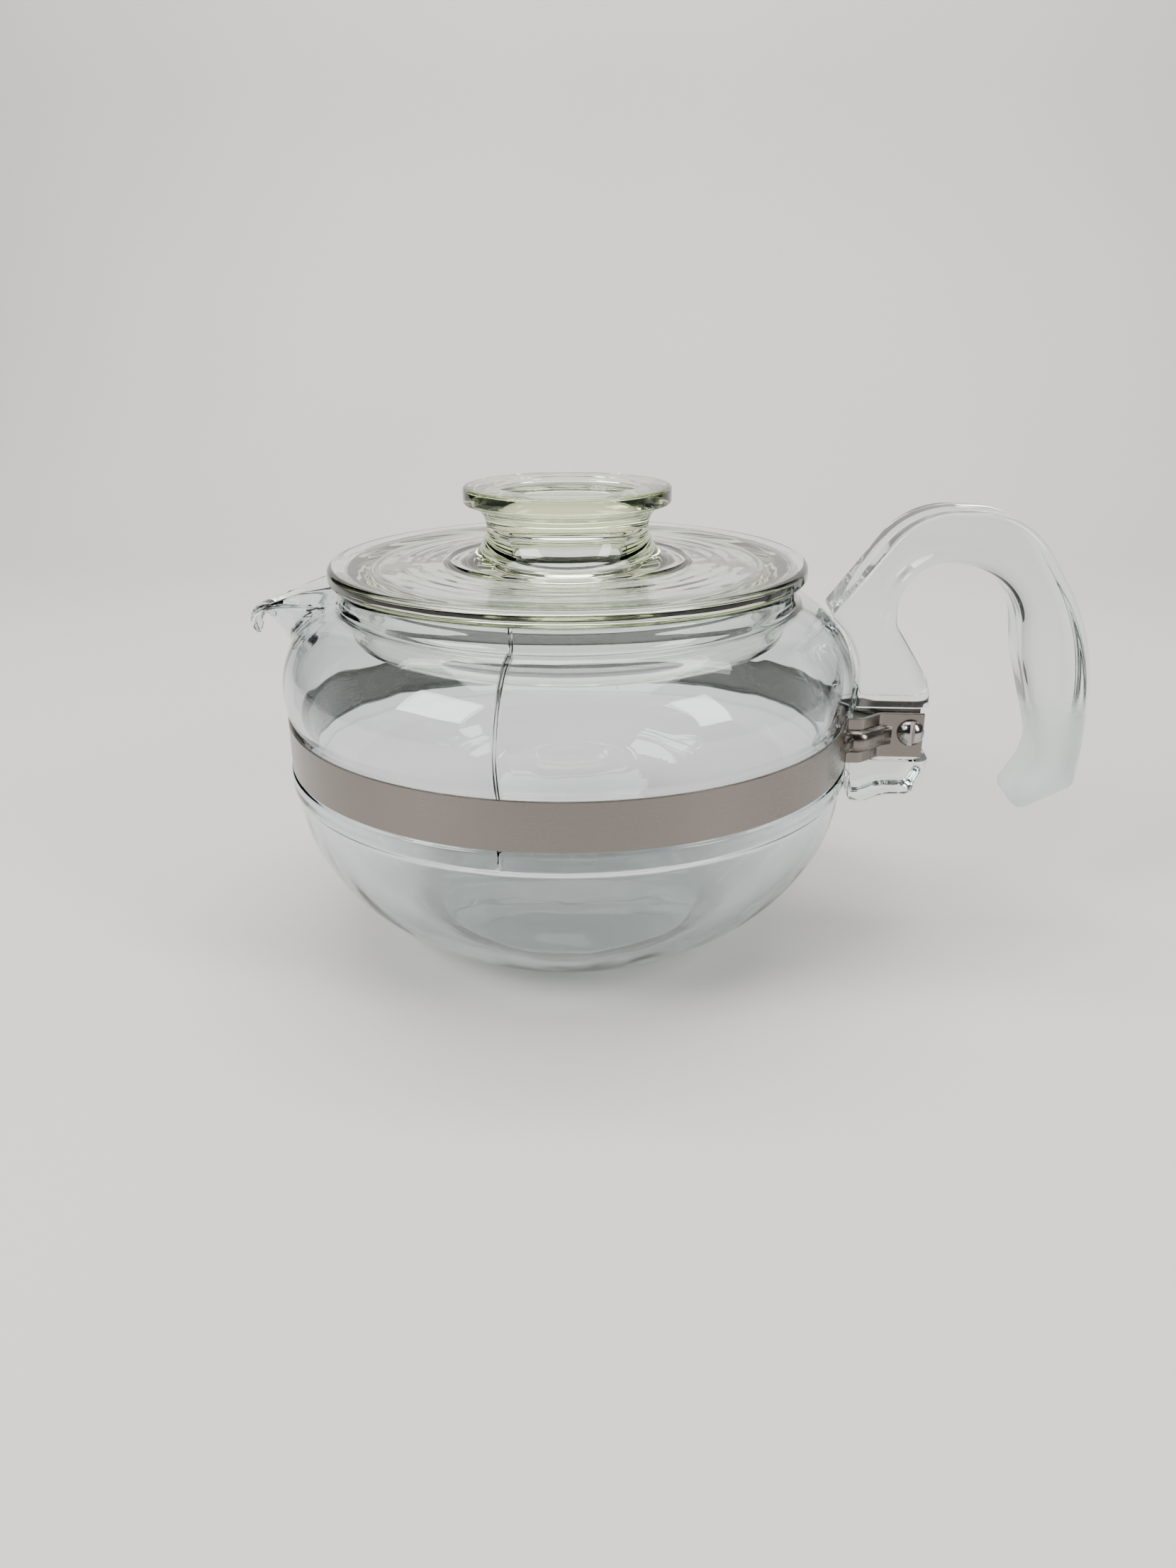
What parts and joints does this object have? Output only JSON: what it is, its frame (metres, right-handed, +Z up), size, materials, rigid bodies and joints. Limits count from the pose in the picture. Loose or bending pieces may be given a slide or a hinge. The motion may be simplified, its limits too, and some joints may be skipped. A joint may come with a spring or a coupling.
{
  "type": "glass teapot",
  "caption": "Squat round clear-glass teapot with a pulled spout, lift-off knobbed glass lid and an open C-shaped glass handle held to the pot by a screwed steel band.",
  "frame": {"origin": "centre of the pot's base, on the surface it stands on", "axes": "+X towards the handle, the spout to -X, +Z up along the pot's axis"},
  "size_m": [0.2255, 0.1534, 0.1216],
  "materials": {
    "pot_glass": "clear blown glass, faint blue-grey tint in the bowl, polished",
    "lid_glass": "clear pressed glass, faint yellow-green tint, fine concentric ripples",
    "handle_glass": "clear pressed glass, fire polished, ground matt at the free tip",
    "band_steel": "satin stainless steel strip, grain along the strip",
    "screw_steel": "bright steel"
  },
  "bodies": {
    "pot": {"glass_body": "pot_glass", "handle": "handle_glass", "clamp_band": "band_steel", "clamp_screw": "screw_steel", "clamp_nut": "screw_steel"},
    "lid": {"lid": "lid_glass"}
  },
  "joints": [
    {"name": "lid_lift", "type": "slide", "parent": "pot", "child": "lid", "axis": [0, 0, 1], "range_m": [0, 0.07]}
  ]
}
